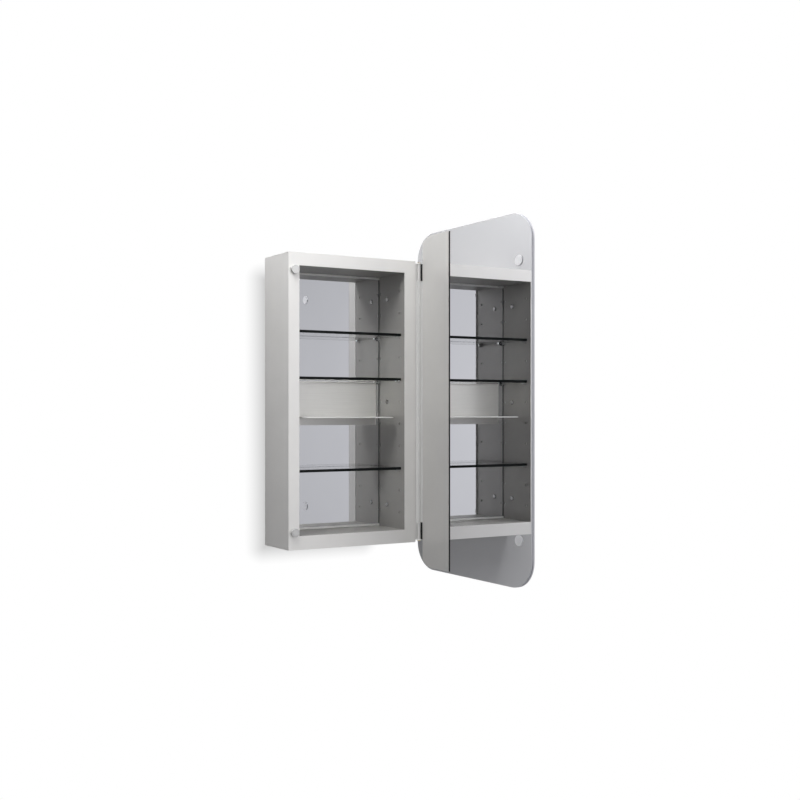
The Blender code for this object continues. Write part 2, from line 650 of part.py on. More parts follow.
def door_layers():
    """Two mirrors back to back with the backing plate between them."""
    inner = door_plate("door_inner_mirror", 0.0, DOOR_GLASS_INNER, 0.0, MIRROR, 0.0)
    window = bmesh.new()
    add_box(window, (DOOR_FACE - 0.01, AXIS_Y - LEAF_WINDOW_END, -LEAF_HALF_HEIGHT - 0.002),
            (DOOR_FACE + 0.01, AXIS_Y - LEAF_WINDOW_START, LEAF_HALF_HEIGHT + 0.002))
    boolean(inner, "DIFFERENCE", cutter("leaf_window", window))
    bevel(inner, 0.0005, 2)
    plate_start = DOOR_GLASS_INNER + CLEARANCE
    plate = door_plate("door_backing_plate", plate_start, DOOR_PLATE, 0.0025, ZINC, 0.0)
    holes = bmesh.new()
    for height in LEAF_SCREW_HEIGHTS:
        point = Vector((DOOR_FACE + plate_start, AXIS_Y - LEAF_SCREW_FROM_AXIS, height))
        add_rod(holes, point - Vector((0.003, 0, 0)), point + Vector((0.003, 0, 0)), LEAF_SCREW_RADIUS, 12)
    boolean(plate, "DIFFERENCE", cutter("backing_plate_holes", holes))
    door_plate("door_front_mirror", plate_start + DOOR_PLATE + CLEARANCE, DOOR_GLASS_FRONT, 0.0, MIRROR, 0.0006)


def hinge_door_leaf():
    """Moving leaf: long knuckle, an arm to the door, and a joggle through the mirror's window."""
    sheet = LEAF_SHEET_DOOR
    arm_y = AXIS_Y - 0.0029
    over_mirror = DOOR_FACE - CLEARANCE - sheet / 2
    on_plate = DOOR_FACE + DOOR_GLASS_INNER - sheet / 2
    line = [(AXIS_X, arm_y), (over_mirror, arm_y), (over_mirror, AXIS_Y - LEAF_WINDOW_START - 0.0020),
            (on_plate, AXIS_Y - LEAF_WINDOW_START - 0.0050), (on_plate, AXIS_Y - LEAF_WINDOW_END + 0.0040)]
    leaf = folded_sheet("hinge_door_leaf", line, "xy", (-LEAF_HALF_HEIGHT, LEAF_HALF_HEIGHT), sheet, ALUMINIUM)
    barrel = bmesh.new()
    add_rod(barrel, (AXIS_X, AXIS_Y, -LEAF_HALF_HEIGHT), (AXIS_X, AXIS_Y, LEAF_HALF_HEIGHT), BARREL_RADIUS)
    boolean(leaf, "UNION", cutter("long_knuckle", barrel))
    bore = bmesh.new()
    add_rod(bore, (AXIS_X, AXIS_Y, -TOP), (AXIS_X, AXIS_Y, TOP), PIN_BORE_RADIUS, 24)
    for height in LEAF_SCREW_HEIGHTS:
        point = Vector((on_plate, AXIS_Y - LEAF_SCREW_FROM_AXIS, height))
        add_rod(bore, point - Vector((0.002, 0, 0)), point + Vector((0.002, 0, 0)), LEAF_SCREW_RADIUS, 12)
    boolean(leaf, "DIFFERENCE", cutter("door_leaf_bores", bore))


def cover_strip():
    """Shallow pan over the hinge leaf: the door's outline inset, kept between two upright edges."""
    depth = COVER_STANDOFF - CLEARANCE
    outline = rounded_outline(DOOR_WIDTH - 2 * COVER_INSET, DOOR_HEIGHT - 2 * COVER_INSET,
                              DOOR_RADIUS - COVER_INSET)
    middle_y = (DOOR_NEAR_Y + DOOR_FAR_Y) / 2
    strip = flat_plate("door_cover_strip", outline, depth,
                       door_matrix(DOOR_FACE - COVER_STANDOFF + depth / 2, middle_y), ALUMINIUM)
    keep = bmesh.new()
    add_box(keep, (DOOR_FACE - 0.01, AXIS_Y - COVER_FAR, -DOOR_HEIGHT), (DOOR_FACE + 0.01, AXIS_Y - COVER_NEAR,
                                                                        DOOR_HEIGHT))
    boolean(strip, "INTERSECT", cutter("cover_strip_span", keep))
    pocket = flat_plate("cover_pocket_shape",
                        rounded_outline(DOOR_WIDTH - 2 * (COVER_INSET + COVER_SKIRT),
                                        DOOR_HEIGHT - 2 * (COVER_INSET + COVER_SKIRT),
                                        DOOR_RADIUS - COVER_INSET - COVER_SKIRT),
                        depth, door_matrix(DOOR_FACE - COVER_STANDOFF + COVER_SHEET + depth / 2, middle_y), None,
                        CUTTERS)
    pocket_span = bmesh.new()
    add_box(pocket_span, (DOOR_FACE - 0.01, AXIS_Y - COVER_FAR + COVER_SKIRT, -DOOR_HEIGHT),
            (DOOR_FACE + 0.01, AXIS_Y - COVER_NEAR - COVER_SKIRT, DOOR_HEIGHT))
    boolean(pocket, "INTERSECT", cutter("cover_pocket_span", pocket_span))
    boolean(strip, "DIFFERENCE", pocket)
    leaf_way = bmesh.new()
    add_box(leaf_way, (DOOR_FACE - COVER_STANDOFF + COVER_SHEET, AXIS_Y - COVER_NEAR - 0.005, -LEAF_HALF_HEIGHT
                       - 0.0005), (DOOR_FACE, AXIS_Y, LEAF_HALF_HEIGHT + 0.0005))
    boolean(strip, "DIFFERENCE", cutter("leaf_way", leaf_way))


def strike_plates():
    plate = turned_mesh([(0.0, STRIKE_THICKNESS), (STRIKE_RADIUS - 0.0008, STRIKE_THICKNESS),
                         (STRIKE_RADIUS, STRIKE_THICKNESS - 0.0008), (STRIKE_RADIUS, 0.0), (0.0, 0.0)], 40)
    for level, side in (("upper", 1), ("lower", -1)):
        point = (DOOR_FACE - CLEARANCE, AXIS_Y - STRIKE_FROM_AXIS, side * CATCH_HEIGHT)
        place("strike_plate_" + level, plate, facing(point, (-1, 0, 0)), CHROME)


DOOR_NODES = ("hinge_door_leaf", "door_front_mirror", "door_backing_plate", "door_inner_mirror",
              "door_cover_strip", "strike_plate_upper", "strike_plate_lower")


def hang_door():
    """Parents the door's pieces to an empty on the hinge axis."""
    axis = bpy.data.objects.new("door_axis", None)
    axis.location = (AXIS_X, AXIS_Y, 0.0)
    PARTS.objects.link(axis)
    bpy.context.view_layer.update()
    for name in DOOR_NODES:
        piece = bpy.data.objects[name]
        piece.parent = axis
        piece.matrix_parent_inverse = axis.matrix_world.inverted()


# ---------------------------------------------------------------- assembly
face_frame()
outer_panels()
inner_box()
wall_rail("wall_rail_left", LINER_LEFT, -1)
wall_rail("wall_rail_right", LINER_RIGHT, 1)
bolt_caps()
for shelf_level, shelf_height in SHELF_HEIGHTS.items():
    shelf(shelf_level, shelf_height)
organiser()
catches()
hinge_frame_leaf()
hinge_pins()
door_layers()
hinge_door_leaf()
cover_strip()
strike_plates()
hang_door()
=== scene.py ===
"""Looks of the medicine cabinet: studio, camera, finishes and pieces that the solids leave out.

Everything is in metres in the part's own frame: +Z up, the wall is the plane Y = 0 and the room is
on the -Y side.
"""

import json
import math

import bmesh
import bpy
from mathutils import Matrix, Vector

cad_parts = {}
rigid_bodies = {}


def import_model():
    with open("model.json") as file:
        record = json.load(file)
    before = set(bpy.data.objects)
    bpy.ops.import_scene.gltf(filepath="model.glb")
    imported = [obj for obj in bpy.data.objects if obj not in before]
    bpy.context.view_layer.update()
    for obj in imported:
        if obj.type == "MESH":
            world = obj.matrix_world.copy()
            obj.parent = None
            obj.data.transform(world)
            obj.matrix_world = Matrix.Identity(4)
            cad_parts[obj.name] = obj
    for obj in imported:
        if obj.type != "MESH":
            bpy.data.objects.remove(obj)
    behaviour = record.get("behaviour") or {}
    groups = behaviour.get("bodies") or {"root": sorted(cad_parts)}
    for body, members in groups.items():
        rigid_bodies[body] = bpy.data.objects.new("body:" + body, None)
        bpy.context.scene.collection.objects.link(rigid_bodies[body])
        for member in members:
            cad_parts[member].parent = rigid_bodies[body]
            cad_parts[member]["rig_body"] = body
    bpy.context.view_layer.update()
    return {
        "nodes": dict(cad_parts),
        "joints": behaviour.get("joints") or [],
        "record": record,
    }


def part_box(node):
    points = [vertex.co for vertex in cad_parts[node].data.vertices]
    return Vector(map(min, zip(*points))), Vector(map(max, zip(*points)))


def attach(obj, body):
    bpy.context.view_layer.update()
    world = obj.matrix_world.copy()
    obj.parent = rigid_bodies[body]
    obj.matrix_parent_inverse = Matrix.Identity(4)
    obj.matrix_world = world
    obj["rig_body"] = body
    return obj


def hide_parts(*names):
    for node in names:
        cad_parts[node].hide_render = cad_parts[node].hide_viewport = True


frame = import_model()
NODES = frame["nodes"]
SCENE = bpy.context.scene

# ---------------------------------------------------------------- places read from the frame
FACE_LOW, FACE_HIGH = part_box("front_frame")
INNER_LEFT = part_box("liner_wall_left")[1].x
INNER_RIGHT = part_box("liner_wall_right")[0].x
AXIS = Vector(frame["joints"][0]["pos_m"])
LEAF_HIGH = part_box("hinge_door_leaf")[1]

# ---------------------------------------------------------------- meshes
MERGE_DISTANCE = 0.000005
FLAT_ANGLE = math.radians(0.2)      # faces of a solid that meet flatter than this become one
SHARP_ANGLE = math.radians(50.0)
LATHE_SHARP_ANGLE = math.radians(35.0)

# ---------------------------------------------------------------- fasteners
SEAT_GAP = 0.0001                   # clearance between an added piece and what it sits on
CAP_LEVELS = ("upper", "middle", "lower")
RAIL_STEP = 0.0015                  # from the wall rail's box to the seat of its nuts
BOLT_SEGMENTS = 32
BOLT_HEAD = ((0.0, 0.0009), (0.0028, 0.0009), (0.0037, 0.0007), (0.0040, 0.0004), (0.0040, 0.0002))
BOLT_SHANK_RADIUS = 0.0025
BOLT_HEAD_SEAT = 0.0002
BOLT_TIP_RADIUS = 0.0020
BOLT_PAST_NUT = (0.0060, 0.0066)    # where the tip's chamfer starts and ends
NUT_SEGMENTS = 48
NUT_CORNERS = 6
NUT_PROFILE = ((-0.0046, -0.0002), (-0.0046, -0.0038), (-0.0041, -0.0042), (0.0027, -0.0042),
               (0.0027, -0.0002))   # negative radii follow the hexagon
RIVET_HEAD = ((0.0, 0.0013), (0.0015, 0.0012), (0.0026, 0.0008), (0.0031, 0.0002), (0.0031, 0.0))
RIVET_SHANK_RADIUS = 0.0015
RIVET_COUNT = 6
RIVET_TOP, RIVET_PITCH = 0.240, 0.096
RIVET_FROM_AXIS = 0.0450
LEAF_SHEET = 0.0009                 # from the leaf's far face to the rivets' seat

# ---------------------------------------------------------------- rubber strips
STRIP_ROUNDING = 0.0003
BEAD_WIDTH = 0.0010
BEAD_SHORTER = 0.0004               # at each end of the cover strip
BEAD_BACK = 0.0003                  # behind the cover strip's face
# the knuckle pads are painted shade: dark sheets beside the hinge knuckles
SHADE_SHEET_THICKNESS = 0.0007
SHADE_SHEET_DEPTH = 0.0150
CORNER_STRIP_WIDTH = 0.0012
CORNER_STRIP_THICKNESS = 0.0008
END_GAP = 0.0003                    # from a corner strip or a shade pad to its neighbours

# ---------------------------------------------------------------- camera
CAMERA_PLACE = (-1.2678, -2.0922, -0.0211)
CAMERA_YAW = -0.4705
CAMERA_LENS = 47.55
CAMERA_SENSOR = 36.0
CAMERA_CLIP = (0.05, 50.0)
CAMERA_SHIFT = (0.1875, 0.0136)

# ---------------------------------------------------------------- studio
FLOOR_Z = -1.35
FLOOR_HALF = 2.6
FLOOR_TONE = 0.80
FLOOR_COLOUR = (0.90, 0.90, 0.90, 1.0)
WALL_LEFT, WALL_RIGHT, WALL_TOP = -2.2, 2.6, 1.7
WALL_GAP = 0.001            # wall plane behind the cabinet's back
WALL_HOLE_MARGIN = 0.004    # the wall is open where the cabinet covers it
WALL_COLOUR = (0.440, 0.440, 0.443, 1.0)
SHADOW_RIGHT = 0.09         # the contact shadow ends here, short of the open door
SHADOW_LOW = 0.004          # how far under the cabinet's bottom edge it starts to fade
SHADOW_HIGH = 0.050         # how far below the top edge
SHADOW_REACH = (0.052, 0.042)   # sideways and downwards
SHADOW_DEPTH = 0.39
SHADOW_CURVE = 1.35

WHITE = (1.0, 1.0, 1.0, 1.0)
ROOM_TINT = (0.985, 0.985, 1.015, 1.0)
AMBIENT = 0.03
LOBES = (                   # direction, sharpness, level
    ((0.0, -1.0, 0.0), 2.0, 0.21),
    ((-0.49, -0.87, 0.0), 16.0, 0.17),
    ((0.49, -0.87, 0.0), 16.0, 1.27),
    ((-0.866, -0.5, 0.0), 8.0, 0.62),
    ((0.0, 1.0, 0.0), 4.0, 0.45),
    ((1.0, 0.0, 0.0), 4.0, 0.40),
)
LAMPS = (                   # name, place, size, power
    ("front_softbox", (0.50, -1.60, 1.30), 1.0, 14.5),
    ("top_softbox", (-0.40, -0.35, 1.30), 0.6, 15.0),
    ("key_softbox", (-0.60, -0.55, 0.95), 0.25, 5.5),
)


def add_camera():
    data = bpy.data.cameras.new("camera")
    data.lens = CAMERA_LENS
    data.sensor_width = CAMERA_SENSOR
    data.shift_x, data.shift_y = CAMERA_SHIFT
    data.clip_start, data.clip_end = CAMERA_CLIP
    camera = bpy.data.objects.new("camera", data)
    camera.location = CAMERA_PLACE
    camera.rotation_euler = (math.pi / 2, 0.0, CAMERA_YAW)
    SCENE.collection.objects.link(camera)
    SCENE.camera = camera


# ---------------------------------------------------------------- node tree helpers
def math_node(tree, operation, first, second):
    """A Math node between two values, each a plain number or a socket."""
    node = tree.nodes.new("ShaderNodeMath")
    node.operation = operation
    for socket, value in zip(node.inputs, (first, second)):
        if isinstance(value, float):
            socket.default_value = value
        else:
            tree.links.new(value, socket)
    return node.outputs["Value"]


def mix_by_eye(tree, others, eye):
    """One shader to the eye and another to every other ray."""
    ray = tree.nodes.new("ShaderNodeLightPath")
    mix = tree.nodes.new("ShaderNodeMixShader")
    tree.links.new(ray.outputs["Is Camera Ray"], mix.inputs["Fac"])
    tree.links.new(others, mix.inputs[1])
    tree.links.new(eye, mix.inputs[2])
    return mix.outputs["Shader"]


class Tree:
    """A material's node tree, with short calls for the nodes that the finishes share."""

    def __init__(self, name):
        self.material = bpy.data.materials.new(name)
        self.material.use_nodes = True
        self.nodes = self.material.node_tree.nodes
        self.shader = self.nodes["Principled BSDF"]
        self.output = self.nodes["Material Output"]

    def add(self, kind, **settings):
        node = self.nodes.new(kind)
        for key, value in settings.items():
            setattr(node, key, value)
        return node

    def link(self, source, target):
        self.material.node_tree.links.new(source, target)

    def set(self, **values):
        """Sets plain values on the shader's own sockets: base_color=..., metallic=... and so on."""
        names = {socket.name.lower().replace(" ", "_"): socket for socket in self.shader.inputs}
        for key, value in values.items():
            names[key].default_value = value

    def paint(self, socket, source):
        """Links a source to one of the shader's sockets."""
        self.link(source, self.shader.inputs[socket])

    def place(self):
        """Coordinates that stay with the piece: its own space, at rest the part's frame."""
        return self.add("ShaderNodeTexCoord").outputs["Object"]

    def stretched(self, scale):
        mapping = self.add("ShaderNodeMapping")
        mapping.inputs["Scale"].default_value = scale
        self.link(self.place(), mapping.inputs["Vector"])
        return mapping.outputs["Vector"]

    def noise(self, scale, detail=3.0, roughness=0.55):
        """Noise whose scale is given along each axis, so that it can be drawn out into grain."""
        node = self.add("ShaderNodeTexNoise")
        node.inputs["Scale"].default_value = 1.0
        node.inputs["Detail"].default_value = detail
        node.inputs["Roughness"].default_value = roughness
        self.link(self.stretched(scale), node.inputs["Vector"])
        return node.outputs["Fac"]

    def spread(self, source, low, high, from_low=0.3, from_high=0.7):
        """Maps a factor to a range of values."""
        node = self.add("ShaderNodeMapRange")
        node.inputs["From Min"].default_value = from_low
        node.inputs["From Max"].default_value = from_high
        node.inputs["To Min"].default_value = low
        node.inputs["To Max"].default_value = high
        self.link(source, node.inputs["Value"])
        return node.outputs["Result"]

    def blend(self, factor, first, second):
        """Mixes two colours, each a plain colour or a socket."""
        node = self.add("ShaderNodeMix", data_type="RGBA")
        self.link(factor, node.inputs["Factor"])
        for socket, value in ((node.inputs[6], first), (node.inputs[7], second)):
            if isinstance(value, tuple):
                socket.default_value = (*value, 1.0)
            else:
                self.link(value, socket)
        return node.outputs[2]

    def math(self, operation, first, second):
        return math_node(self.material.node_tree, operation, first, second)

    def bump(self, height, strength, distance):
        node = self.add("ShaderNodeBump")
        node.inputs["Strength"].default_value = strength
        node.inputs["Distance"].default_value = distance
        self.link(height, node.inputs["Height"])
        self.link(node.outputs["Normal"], self.shader.inputs["Normal"])

    def face_mask(self, axis, threshold):
        """1 on faces square to an axis of the piece, 0 on its edges."""
        parts = self.add("ShaderNodeSeparateXYZ")
        self.link(self.add("ShaderNodeTexCoord").outputs["Normal"], parts.inputs["Vector"])
        return self.math("GREATER_THAN", self.math("ABSOLUTE", parts.outputs[axis], 0.0), threshold)


# ---------------------------------------------------------------- finishes
MIRROR_FACE = 0.92      # how square to its axis a mirror's face has to be; the rest is its edge
SHELF_FACE = 0.80


def shades(colour, darker, lighter=1.0):
    """A colour made a little darker, and the same or a little lighter."""
    return tuple(darker * c for c in colour), tuple(min(1.0, lighter * c) for c in colour)


def satin_aluminium(name, colour, roughness, metallic, grain):
    """Anodised sheet: fine grain drawn along one axis, slow cloudiness in the tone."""
    tree = Tree(name)
    lines = tree.noise(grain, 4.0, 0.6)
    cloud = tree.noise((14.0, 14.0, 14.0), 3.0)
    tree.paint("Base Color", tree.blend(tree.spread(cloud, 0.0, 1.0), *shades(colour, 0.965)))
    tree.paint("Roughness", tree.spread(lines, roughness - 0.035, roughness + 0.035))
    tree.set(metallic=metallic)
    tree.bump(lines, 0.05, 0.0002)
    return tree.material


def brushed_steel(name, colour, roughness, grain):
    """Directional brushing with visible streaks."""
    tree = Tree(name)
    lines = tree.noise(grain, 4.0, 0.6)
    streaks = tree.noise(tuple(0.4 * s for s in grain), 2.0)
    tone = tree.blend(tree.spread(streaks, 0.0, 1.0), *shades(colour, 0.97, 1.02))
    tree.paint("Base Color", tone)
    tree.paint("Roughness", tree.spread(lines, roughness - 0.04, roughness + 0.04))
    tree.set(metallic=0.55)
    tree.bump(lines, 0.02, 0.0001)
    return tree.material


def mirror_glass(name, axis, tint, rim):
    """Silvered glass: the two faces square to the axis reflect, and the ground edge is matt."""
    tree = Tree(name)
    face = tree.face_mask(axis, MIRROR_FACE)
    haze = tree.noise((9.0, 9.0, 9.0), 2.0)
    edge = tree.blend(tree.noise((60.0, 60.0, 900.0)), *shades(rim, 0.93))
    hazy = tree.blend(tree.spread(haze, 0.0, 1.0), *shades(tint, 0.985))
    tree.paint("Base Color", tree.blend(face, edge, hazy))
    tree.paint("Metallic", face)
    tree.paint("Roughness", tree.spread(face, 0.60, 0.0, 0.0, 1.0))
    tree.paint("Specular IOR Level", tree.spread(face, 0.15, 0.5, 0.0, 1.0))
    return tree.material


def shelf_glass():
    """Clear tempered glass whose polished edges are coloured near black, painted shade for how dark
    the edges look. Lamps shine through it.
    """
    tree = Tree("shelf_glass_look")
    face = tree.face_mask("Z", SHELF_FACE)
    cloud = tree.noise((40.0, 40.0, 40.0), 2.0)
    # painted shade: the near-black edge colour stands in for the dark look of the glass edges
    edge = tree.blend(cloud, (0.002, 0.003, 0.003), (0.006, 0.008, 0.008))
    tree.paint("Base Color", tree.blend(face, edge, (0.95, 0.96, 0.952)))
    tree.paint("Transmission Weight", face)
    tree.paint("Roughness", tree.spread(cloud, 0.0, 0.02))
    tree.paint("Specular IOR Level", tree.spread(face, 0.08, 0.5, 0.0, 1.0))
    tree.set(ior=1.48)
    clear = tree.add("ShaderNodeBsdfTransparent")
    clear.inputs["Color"].default_value = (0.88, 0.885, 0.875, 1.0)
    mix = tree.add("ShaderNodeMixShader")
    ray = tree.add("ShaderNodeLightPath")
    tree.link(ray.outputs["Is Shadow Ray"], mix.inputs["Fac"])
    tree.link(tree.shader.outputs["BSDF"], mix.inputs[1])
    tree.link(clear.outputs["BSDF"], mix.inputs[2])
    tree.link(mix.outputs["Shader"], tree.output.inputs["Surface"])
    return tree.material


def polished_metal(name, colour, roughness):
    """Plated or polished metal with faint smears in its gloss."""
    tree = Tree(name)
    smear = tree.noise((220.0, 220.0, 220.0), 2.0)
    tree.paint("Base Color", tree.blend(smear, *shades(colour, 0.95)))
    tree.paint("Roughness", tree.spread(smear, roughness * 0.6, roughness * 1.4))
    tree.set(metallic=1.0)
    return tree.material


def zinc_plate():
    """Zinc plating with a faint crystalline pattern."""
    tree = Tree("zinc_steel_look")
    cells = tree.add("ShaderNodeTexVoronoi")
    cells.inputs["Scale"].default_value = 140.0
    tree.link(tree.place(), cells.inputs["Vector"])
    distance = cells.outputs["Distance"]
    tree.paint("Base Color", tree.blend(distance, (0.50, 0.51, 0.52), (0.64, 0.65, 0.66)))
    tree.paint("Roughness", tree.spread(distance, 0.32, 0.48, 0.0, 1.0))
    tree.set(metallic=0.8)
    return tree.material


def moulded(name, colour, roughness, texture):
    """Moulded plastic or rubber with a fine spark-eroded texture."""
    tree = Tree(name)
    grain = tree.noise((texture, texture, texture), 3.0)
    tree.paint("Base Color", tree.blend(grain, *shades(colour, 0.96)))
    tree.paint("Roughness", tree.spread(grain, roughness - 0.05, roughness + 0.05))
    tree.bump(grain, 0.08, 0.0001)
    return tree.material


ALONG_X = (30.0, 1400.0, 1400.0)
ALONG_Z = (1400.0, 1400.0, 30.0)
FINISHES = {
    "casing_aluminium": satin_aluminium("casing_look", (0.865, 0.855, 0.833), 0.46, 0.40, ALONG_Z),
    "liner_aluminium": satin_aluminium("liner_look", (0.345, 0.337, 0.323), 0.50, 0.35, ALONG_Z),
    "trim_aluminium": satin_aluminium("trim_look", (0.95, 0.945, 0.93), 0.38, 0.45, ALONG_X),
    "catch_aluminium": satin_aluminium("catch_look", (0.62, 0.618, 0.61), 0.55, 0.20, ALONG_Z),
    "hinge_aluminium": satin_aluminium("hinge_look", (0.80, 0.795, 0.78), 0.40, 0.60, ALONG_Z),
    "cover_aluminium": satin_aluminium("cover_look", (0.655, 0.647, 0.629), 0.46, 0.40, ALONG_Z),
    "shelf_glass": shelf_glass(),
    "support_chrome": polished_metal("support_look", (0.82, 0.83, 0.84), 0.08),
    "strike_chrome": satin_aluminium("strike_look", (0.95, 0.95, 0.97), 0.42, 0.55, ALONG_Z),
    "organiser_steel": brushed_steel("organiser_look", (0.73, 0.72, 0.70), 0.36, ALONG_X),
    "edge_rubber": moulded("rubber_look", (0.025, 0.025, 0.026), 0.60, 900.0),
    "magnet_sheet": moulded("magnet_sheet_look", (0.06, 0.06, 0.065), 0.75, 900.0),
    "magnet_nickel": satin_aluminium("magnet_look", (0.66, 0.658, 0.65), 0.50, 0.20, ALONG_Z),
    "zinc_steel": zinc_plate(),
    "brass": polished_metal("brass_look", (0.75, 0.62, 0.30), 0.22),
    "cap_chrome": polished_metal("cap_look", (0.38, 0.375, 0.365), 0.22),
    "white_nylon": moulded("nylon_look", (0.93, 0.93, 0.915), 0.34, 1500.0),
}
MIRROR_TINT = (0.925, 0.930, 0.948)
DOOR_MIRROR = mirror_glass("door_mirror_look", "X", MIRROR_TINT, (0.60, 0.605, 0.645))
# the back mirror's rim is near black: painted shade that makes the seams along its edges look dark
BACK_MIRROR = mirror_glass("back_mirror_look", "Y", MIRROR_TINT, (0.05, 0.05, 0.055))
# a lighter copy of the organiser steel for the tray shelf: painted highlight for the bright line
# along its front lip
LIT_TRAY_STEEL = brushed_steel("organiser_tray_look", (0.96, 0.95, 0.93), 0.36, ALONG_X)
NODE_SLOTS = {row["node"]: row["material_slot"] for row in frame["record"]["subparts"]}


def finish_of(node):
    if node == "back_mirror":
        return BACK_MIRROR
    # the tray shelf takes the lighter copy of the organiser steel, a painted highlight
    if node == "organiser_shelf":
        return LIT_TRAY_STEEL
    if NODE_SLOTS[node] == "mirror_glass":
        return DOOR_MIRROR
    return FINISHES[NODE_SLOTS[node]]


def dress(obj, material):
    """Gives every slot of an object one material."""
    if not obj.material_slots:
        obj.data.materials.append(material)
    for slot in obj.material_slots:
        slot.material = material


# ---------------------------------------------------------------- fine surfaces
FLAT_NODES = ("side_panel_", "top_panel", "bottom_panel", "liner_", "back_", "mirror_retainer",
              "wall_rail", "glass_shelf", "organiser_magnet", "door_backing", "door_cover")


def finished_mesh(bm, name, sharp_angle):
    """Turns a bmesh into a mesh that is smooth but for its sharp edges."""
    mesh = bpy.data.meshes.new(name)
    bm.to_mesh(mesh)
    bm.free()
    mesh.shade_smooth()
    mesh.set_sharp_from_angle(angle=sharp_angle)
    return mesh


def smooth_copy(node):
    """The same shape with its points joined and its round surfaces shaded smooth."""
    bm = bmesh.new()
    bm.from_mesh(NODES[node].data)
    bmesh.ops.remove_doubles(bm, verts=bm.verts, dist=MERGE_DISTANCE)
    bmesh.ops.dissolve_limit(bm, angle_limit=FLAT_ANGLE, verts=bm.verts, edges=bm.edges)
    mesh = finished_mesh(bm, node + "_fine", SHARP_ANGLE)
    fine = bpy.data.objects.new(node + "_fine", mesh)
    SCENE.collection.objects.link(fine)
    flatten = fine.modifiers.new("flat_faces_stay_flat", "WEIGHTED_NORMAL")
    flatten.weight = 100
    flatten.keep_sharp = True
    dress(fine, finish_of(node))
    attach(fine, NODES[node]["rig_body"])
    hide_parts(node)


def dress_nodes():
    for node, obj in NODES.items():
        dress(obj, finish_of(node))
        if not node.startswith(FLAT_NODES):
            smooth_copy(node)


# ---------------------------------------------------------------- fasteners
def lathe(profile, segments, corners=0):
    """Turns (radius, height) pairs about Z. With corners, negative radii follow a polygon."""
    bm = bmesh.new()
    rings = []
    for radius, height in profile:
        if radius == 0.0:
            rings.append([bm.verts.new((0.0, 0.0, height))])
            continue
        ring = []
        for i in range(segments):
            angle = 2 * math.pi * i / segments
            reach = abs(radius)
            if radius < 0.0:
                half = math.pi / corners
                reach = reach * math.cos(half) / math.cos((angle % (2 * half)) - half)
            ring.append(bm.verts.new((reach * math.cos(angle), reach * math.sin(angle), height)))
        rings.append(ring)
    pairs = list(zip(rings, rings[1:]))
    if profile[0][0] != 0.0:
        pairs.append((rings[-1], rings[0]))
    for above, below in pairs:
        for i in range(segments):
            j = (i + 1) % segments
            corners_of_face = [above[i % len(above)], below[i % len(below)],
                               below[j % len(below)], above[j % len(above)]]
            bm.faces.new(list(dict.fromkeys(corners_of_face)))
    bmesh.ops.recalc_face_normals(bm, faces=bm.faces)
    return finished_mesh(bm, "turned", LATHE_SHARP_ANGLE)


def fasten(name, mesh, point, direction, body, slot):
    """Places a turned piece with its +Z along a direction."""
    piece = bpy.data.objects.new(name, mesh)
    turn = Vector(direction).to_track_quat("Z", "Y").to_matrix().to_4x4()
    piece.matrix_world = Matrix.Translation(point) @ turn
    SCENE.collection.objects.link(piece)
    dress(piece, FINISHES[slot])
    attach(piece, body)


def cabinet_bolts():
    """Low-head bolts under the plated caps, with a hexagonal nut behind each wall rail."""
    rail_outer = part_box("wall_rail_right")[0].x + RAIL_STEP
    grip = rail_outer - INNER_RIGHT
    chamfer, tip = (-grip - past for past in BOLT_PAST_NUT)
    bolt = lathe([*BOLT_HEAD, (BOLT_SHANK_RADIUS, BOLT_HEAD_SEAT), (BOLT_SHANK_RADIUS, chamfer),
                  (BOLT_TIP_RADIUS, tip), (0.0, tip)], BOLT_SEGMENTS)
    nut = lathe(NUT_PROFILE, NUT_SEGMENTS, NUT_CORNERS)
    for side, inner_x, inward in (("left", INNER_LEFT, 1), ("right", INNER_RIGHT, -1)):
        for level in CAP_LEVELS:
            low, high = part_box(f"bolt_cap_{side}_{level}")
            middle = (low + high) / 2
            point = Vector((inner_x, middle.y, middle.z))
            fasten(f"cap_bolt_{side}_{level}", bolt, point, (inward, 0, 0), "cabinet", "zinc_steel")
            behind = point - Vector((inward * grip, 0, 0))
            fasten(f"cap_nut_{side}_{level}", nut, behind, (inward, 0, 0), "cabinet", "zinc_steel")


def leaf_rivets():
    """Domed rivets that hold the hinge leaf to the backing plate, under the cover strip."""
    head_seat = LEAF_HIGH.x - LEAF_SHEET - SEAT_GAP
    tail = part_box("door_backing_plate")[1].x + SEAT_GAP - head_seat
    rivet = lathe([*RIVET_HEAD, (RIVET_SHANK_RADIUS, 0.0), (RIVET_SHANK_RADIUS, -tail),
                   (0.0, -tail)], BOLT_SEGMENTS)
    for index in range(RIVET_COUNT):
        point = Vector((head_seat, AXIS.y - RIVET_FROM_AXIS, RIVET_TOP - index * RIVET_PITCH))
        fasten(f"leaf_rivet_{index + 1}", rivet, point, (-1, 0, 0), "door", "zinc_steel")


def cover_edge_bead():
    """Thin black strip with rounded edges along the cover strip's far edge."""
    strip_low, strip_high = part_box("door_cover_strip")
    low = Vector((strip_low.x + BEAD_BACK, strip_low.y - BEAD_WIDTH - SEAT_GAP,
                  strip_low.z + BEAD_SHORTER))
    high = Vector((strip_high.x + SEAT_GAP, strip_low.y - SEAT_GAP, strip_high.z - BEAD_SHORTER))
    rubber_strip("cover_edge_bead", low, high, "door")


def mirror_corner_strips():
    """Thin black strips in the two upright corners between the back mirror and the side walls."""
    mirror_low, mirror_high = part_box("back_mirror")
    low_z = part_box("mirror_retainer_bottom")[1].z + END_GAP
    high_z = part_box("mirror_retainer_top")[0].z - END_GAP
    face = mirror_low.y - SEAT_GAP
    for side, start in (("left", mirror_low.x), ("right", mirror_high.x - CORNER_STRIP_WIDTH)):
        rubber_strip(f"mirror_seal_{side}", Vector((start, face - CORNER_STRIP_THICKNESS, low_z)),
                     Vector((start + CORNER_STRIP_WIDTH, face, high_z)), "cabinet")


